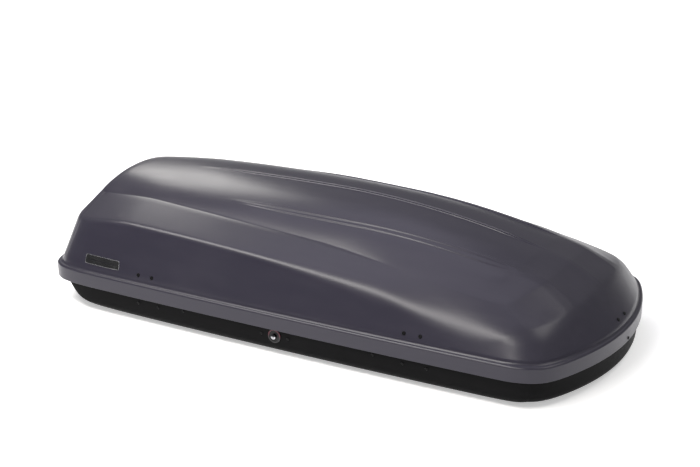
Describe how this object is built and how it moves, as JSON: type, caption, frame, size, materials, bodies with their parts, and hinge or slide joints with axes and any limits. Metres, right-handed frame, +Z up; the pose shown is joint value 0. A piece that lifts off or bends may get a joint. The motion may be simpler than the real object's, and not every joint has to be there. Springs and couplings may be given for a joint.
{
  "type": "roof cargo box",
  "caption": "Car roof cargo box with a fluted hinged lid on a shallow tray, a side key lock with sliding rods, gas struts and slotted plates for roof bars.",
  "frame": {"origin": "on the ground, below the centre of the lid's rim", "axes": "+X towards the nose, -Y towards the opening side, +Z up"},
  "size_m": [1.7525, 0.8315, 0.3939],
  "materials": {
    "lid_plastic": "satin grained plastic",
    "tray_plastic": "textured plastic",
    "name_plate": "blank plate with a thin bright edge",
    "black_rivets": "black painted rivets",
    "black_plastic": "moulded plastic",
    "red_plastic": "indicator ring",
    "lock_chrome": "plated lock",
    "brass": "gear",
    "strut_paint": "black paint",
    "bright_steel": "ground steel",
    "plated_steel": "zinc plated steel"
  },
  "bodies": {
    "base": {"base_tray": "tray_plastic", "bar_plate_front_near": "plated_steel", "bar_plate_front_far": "plated_steel", "bar_plate_rear_near": "plated_steel", "bar_plate_rear_far": "plated_steel", "bar_plate_rivets": "plated_steel", "base_leaf_rear": "plated_steel", "base_leaf_middle": "plated_steel", "base_leaf_front": "plated_steel", "hinge_pin_rear": "bright_steel", "hinge_pin_middle": "bright_steel", "hinge_pin_front": "bright_steel", "base_leaf_rivets": "plated_steel", "lock_housing": "black_plastic", "lock_escutcheon": "black_plastic", "lock_ring": "red_plastic", "lock_barrel": "lock_chrome", "lock_rivets": "black_rivets", "latch_housing_rear": "black_plastic", "latch_housing_front": "black_plastic", "latch_rivets": "black_rivets", "rod_guide_rear": "black_plastic", "rod_guide_front": "black_plastic", "rod_guide_rivets": "black_rivets", "nose_socket": "black_plastic", "nose_socket_rivets": "black_rivets", "strut_foot_rear": "plated_steel", "strut_foot_front": "plated_steel", "strut_foot_rivets": "plated_steel"},
    "lid": {"lid_shell": "lid_plastic", "name_plate": "name_plate", "lid_leaf_rear": "plated_steel", "lid_leaf_middle": "plated_steel", "lid_leaf_front": "plated_steel", "lid_leaf_rivets": "black_rivets", "keeper_rear": "plated_steel", "keeper_front": "plated_steel", "keeper_rivets": "black_rivets", "nose_guide": "black_plastic", "nose_guide_rivets": "black_rivets", "band_plate": "plated_steel", "band_rivet": "black_rivets", "strut_head_rear": "plated_steel", "strut_head_front": "plated_steel"},
    "key": {"key_plug": "lock_chrome", "lock_pinion": "brass", "pinion_screw": "bright_steel"},
    "rod_rear": {"lock_rod_rear": "plated_steel", "lock_bolt_rear": "bright_steel"},
    "rod_front": {"lock_rod_front": "plated_steel", "lock_bolt_front": "bright_steel"},
    "strut_rear": {"strut_cylinder_rear": "strut_paint"},
    "strut_rod_rear_body": {"strut_rod_rear": "bright_steel"},
    "strut_front": {"strut_cylinder_front": "strut_paint"},
    "strut_rod_front_body": {"strut_rod_front": "bright_steel"}
  },
  "joints": [
    {"name": "lid_hinge", "type": "hinge", "parent": "base", "child": "lid", "pos_m": [0, 0.409, 0.077], "axis": [-1, 0, 0], "range_deg": [0, 52]},
    {"name": "key_turn", "type": "hinge", "parent": "base", "child": "key", "pos_m": [-0.028, -0.403, 0.06], "axis": [0, -1, 0], "range_deg": [0, 90]},
    {"name": "rod_rear_slide", "type": "slide", "parent": "base", "child": "rod_rear", "axis": [-1, 0, 0], "range_m": [0, 0.01885]},
    {"name": "rod_front_slide", "type": "slide", "parent": "base", "child": "rod_front", "axis": [1, 0, 0], "range_m": [0, 0.01886]},
    {"name": "strut_rear_swing", "type": "hinge", "parent": "base", "child": "strut_rear", "pos_m": [-0.42, 0.37, 0.06], "axis": [-1, 0, 0], "range_deg": [0, 50.18]},
    {"name": "strut_rear_stroke", "type": "slide", "parent": "strut_rear", "child": "strut_rod_rear_body", "axis": [0, -0.5547, 0.8321], "range_m": [0, 0.03715]},
    {"name": "strut_front_swing", "type": "hinge", "parent": "base", "child": "strut_front", "pos_m": [0.33, 0.37, 0.06], "axis": [-1, 0, 0], "range_deg": [0, 50.18]},
    {"name": "strut_front_stroke", "type": "slide", "parent": "strut_front", "child": "strut_rod_front_body", "axis": [0, -0.5547, 0.8321], "range_m": [0, 0.03715]}
  ],
  "couplings": [
    {"joint": "key_turn", "follows": "rod_rear_slide", "rad_per_m": 83.333},
    {"joint": "rod_front_slide", "follows": "rod_rear_slide", "ratio": 1},
    {"joint": "strut_rear_swing", "follows": "lid_hinge", "ratio": 0.964},
    {"joint": "strut_rear_stroke", "follows": "lid_hinge", "m_per_rad": 0.040875},
    {"joint": "strut_front_swing", "follows": "lid_hinge", "ratio": 0.964},
    {"joint": "strut_front_stroke", "follows": "lid_hinge", "m_per_rad": 0.040875}
  ]
}
